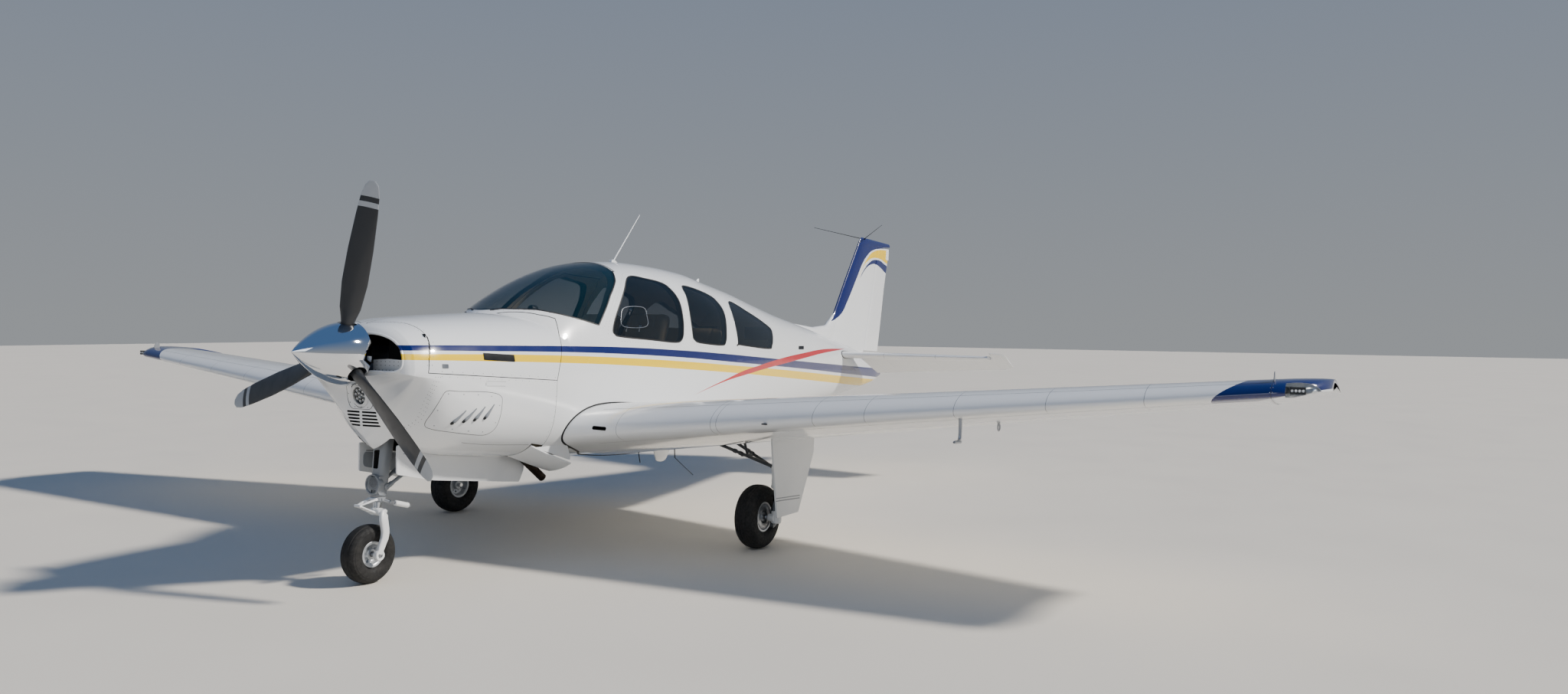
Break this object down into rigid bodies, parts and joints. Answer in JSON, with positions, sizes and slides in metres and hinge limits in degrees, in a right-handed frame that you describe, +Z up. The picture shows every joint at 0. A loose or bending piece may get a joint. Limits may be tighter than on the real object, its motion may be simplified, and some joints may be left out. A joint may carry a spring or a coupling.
{
  "type": "light aircraft",
  "caption": "Low-wing single-propeller touring aircraft on tricycle gear, with hinged doors, cowl flaps, wing flaps and control surfaces that all move.",
  "frame": {"origin": "on the ground below the middle of the parked aircraft's bounding box", "axes": "+X aft, +Y to starboard, +Z up; the aircraft stands on its three wheels with the nose 2.8 degrees up"},
  "size_m": [8.1392, 10.21, 2.644],
  "materials": {
    "white_skin": "gloss white paint with stripes",
    "blue_tip": "gloss blue paint",
    "chrome_spinner": "polished",
    "grey_blade": "satin grey paint with banded tips",
    "engine_casting": "cast",
    "gear_steel": "painted and polished",
    "wheel_metal": "painted casting",
    "black_tyre": "grooved rubber",
    "clear_lens": "clear lens over lamps",
    "glazing": "tinted acrylic",
    "seat_leather": "soft beige",
    "cabin_trim": "matte"
  },
  "bodies": {
    "airframe": {"cowling": "white_skin", "landing_light": "clear_lens", "engine": "engine_casting", "cabin_shell": "white_skin", "cabin_floor": "cabin_trim", "windshield": "glazing", "window_front_port": "glazing", "window_middle_port": "glazing", "window_rear_port": "glazing", "window_middle_starboard": "glazing", "window_rear_starboard": "glazing", "tail_cone": "white_skin", "wing_port": "white_skin", "wing_starboard": "white_skin", "wing_tip_port": "blue_tip", "wing_tip_starboard": "blue_tip", "stabilizer_port": "white_skin", "stabilizer_starboard": "white_skin", "fin": "white_skin", "main_leg_port": "gear_steel", "main_leg_starboard": "gear_steel", "leg_door_port": "white_skin", "leg_door_starboard": "white_skin", "nose_leg": "gear_steel", "nose_door_port": "white_skin", "nose_door_starboard": "white_skin", "exhaust_port": "gear_steel", "exhaust_starboard": "gear_steel", "rear_bench": "seat_leather", "instrument_panel": "cabin_trim"},
    "propeller": {"spinner": "chrome_spinner", "propeller_hub": "gear_steel", "blade_1": "grey_blade", "blade_2": "grey_blade", "blade_3": "grey_blade"},
    "nose_fork": {"nose_fork": "gear_steel"},
    "nose_wheel": {"tyre_nose": "black_tyre", "wheel_nose": "wheel_metal"},
    "main_wheel_port": {"tyre_main_port": "black_tyre", "wheel_main_port": "wheel_metal"},
    "main_wheel_starboard": {"tyre_main_starboard": "black_tyre", "wheel_main_starboard": "wheel_metal"},
    "aileron_port": {"aileron_port": "white_skin"},
    "aileron_starboard": {"aileron_starboard": "white_skin"},
    "flap_port": {"flap_port": "white_skin"},
    "flap_starboard": {"flap_starboard": "white_skin"},
    "elevators": {"elevators": "white_skin"},
    "rudder": {"rudder": "white_skin"},
    "cabin_door": {"cabin_door": "white_skin", "window_front_starboard": "glazing"},
    "baggage_door": {"baggage_door": "white_skin"},
    "cowl_door_port": {"cowl_door_port": "white_skin"},
    "cowl_door_starboard": {"cowl_door_starboard": "white_skin"},
    "cowl_flap_port": {"cowl_flap_port": "white_skin"},
    "cowl_flap_starboard": {"cowl_flap_starboard": "white_skin"},
    "front_seat_port": {"front_seat_port": "seat_leather"},
    "front_seat_starboard": {"front_seat_starboard": "seat_leather"}
  },
  "joints": [
    {"name": "propeller_spin", "type": "hinge", "parent": "airframe", "child": "propeller", "pos_m": [-3.72501, 0, 1.38709], "axis": [-0.9988, 0, 0.0489], "continuous": true},
    {"name": "nose_steer", "type": "hinge", "parent": "airframe", "child": "nose_fork", "pos_m": [-3.42732, 0, 0.77982], "axis": [0.1368, 0, 0.9906], "range_deg": [-20, 20]},
    {"name": "nose_wheel_spin", "type": "hinge", "parent": "nose_fork", "child": "nose_wheel", "pos_m": [-3.5389, 0, 0.177], "axis": [0, 1, 0], "continuous": true},
    {"name": "main_wheel_port_spin", "type": "hinge", "parent": "airframe", "child": "main_wheel_port", "pos_m": [-1.40313, -1.46, 0.2225], "axis": [0, 1, 0], "continuous": true},
    {"name": "main_wheel_starboard_spin", "type": "hinge", "parent": "airframe", "child": "main_wheel_starboard", "pos_m": [-1.40313, 1.46, 0.2225], "axis": [0, 1, 0], "continuous": true},
    {"name": "aileron_port_hinge", "type": "hinge", "parent": "airframe", "child": "aileron_port", "pos_m": [-0.95151, -2.656, 0.95397], "axis": [0.0849, 0.9905, -0.1079], "range_deg": [-20, 20]},
    {"name": "aileron_starboard_hinge", "type": "hinge", "parent": "airframe", "child": "aileron_starboard", "pos_m": [-0.95151, 2.656, 0.95397], "axis": [-0.0849, 0.9905, 0.1079], "range_deg": [-20, 20]},
    {"name": "flap_port_hinge", "type": "hinge", "parent": "airframe", "child": "flap_port", "pos_m": [-0.78446, -0.7, 0.73325], "axis": [0.0846, 0.9901, -0.1118], "range_deg": [0, 33]},
    {"name": "flap_starboard_hinge", "type": "hinge", "parent": "airframe", "child": "flap_starboard", "pos_m": [-0.78446, 0.7, 0.73325], "axis": [-0.0846, 0.9901, 0.1118], "range_deg": [0, 33]},
    {"name": "elevator_hinge", "type": "hinge", "parent": "airframe", "child": "elevators", "pos_m": [2.88016, 0, 1.22924], "axis": [0, -1, 0], "range_deg": [0, 46]},
    {"name": "rudder_hinge", "type": "hinge", "parent": "airframe", "child": "rudder", "pos_m": [3.33488, 0, 1.19198], "axis": [0.309, 0, 0.9511], "range_deg": [-25, 25]},
    {"name": "cabin_door_hinge", "type": "hinge", "parent": "airframe", "child": "cabin_door", "pos_m": [-1.99408, 0.6, 1.30243], "axis": [0.0489, 0, 0.9988], "range_deg": [0, 75]},
    {"name": "baggage_door_hinge", "type": "hinge", "parent": "airframe", "child": "baggage_door", "pos_m": [-0.1393, 0.57, 1.21172], "axis": [0.0489, 0, 0.9988], "range_deg": [0, 85]},
    {"name": "cowl_door_port_hinge", "type": "hinge", "parent": "airframe", "child": "cowl_door_port", "pos_m": [-3.5538, -0.029, 1.59197], "axis": [-0.9974, 0, -0.072], "range_deg": [0, 60]},
    {"name": "cowl_door_starboard_hinge", "type": "hinge", "parent": "airframe", "child": "cowl_door_starboard", "pos_m": [-3.5538, 0.029, 1.59197], "axis": [0.9974, 0, 0.072], "range_deg": [0, 60]},
    {"name": "cowl_flap_port_hinge", "type": "hinge", "parent": "airframe", "child": "cowl_flap_port", "pos_m": [-2.60131, -0.3355, 0.7189], "axis": [-0.0183, 0.9275, -0.3733], "range_deg": [-17, 0]},
    {"name": "cowl_flap_starboard_hinge", "type": "hinge", "parent": "airframe", "child": "cowl_flap_starboard", "pos_m": [-2.60131, 0.3355, 0.7189], "axis": [0.0183, 0.9275, 0.3733], "range_deg": [-17, 0]},
    {"name": "front_seat_port_slide", "type": "slide", "parent": "airframe", "child": "front_seat_port", "axis": [0.9988, 0, -0.0489], "range_m": [-0.1, 0.1]},
    {"name": "front_seat_starboard_slide", "type": "slide", "parent": "airframe", "child": "front_seat_starboard", "axis": [0.9988, 0, -0.0489], "range_m": [-0.1, 0.1]}
  ],
  "couplings": [
    {"joint": "aileron_starboard_hinge", "follows": "aileron_port_hinge", "ratio": -1},
    {"joint": "flap_starboard_hinge", "follows": "flap_port_hinge", "ratio": 1},
    {"joint": "cowl_flap_starboard_hinge", "follows": "cowl_flap_port_hinge", "ratio": 1}
  ]
}
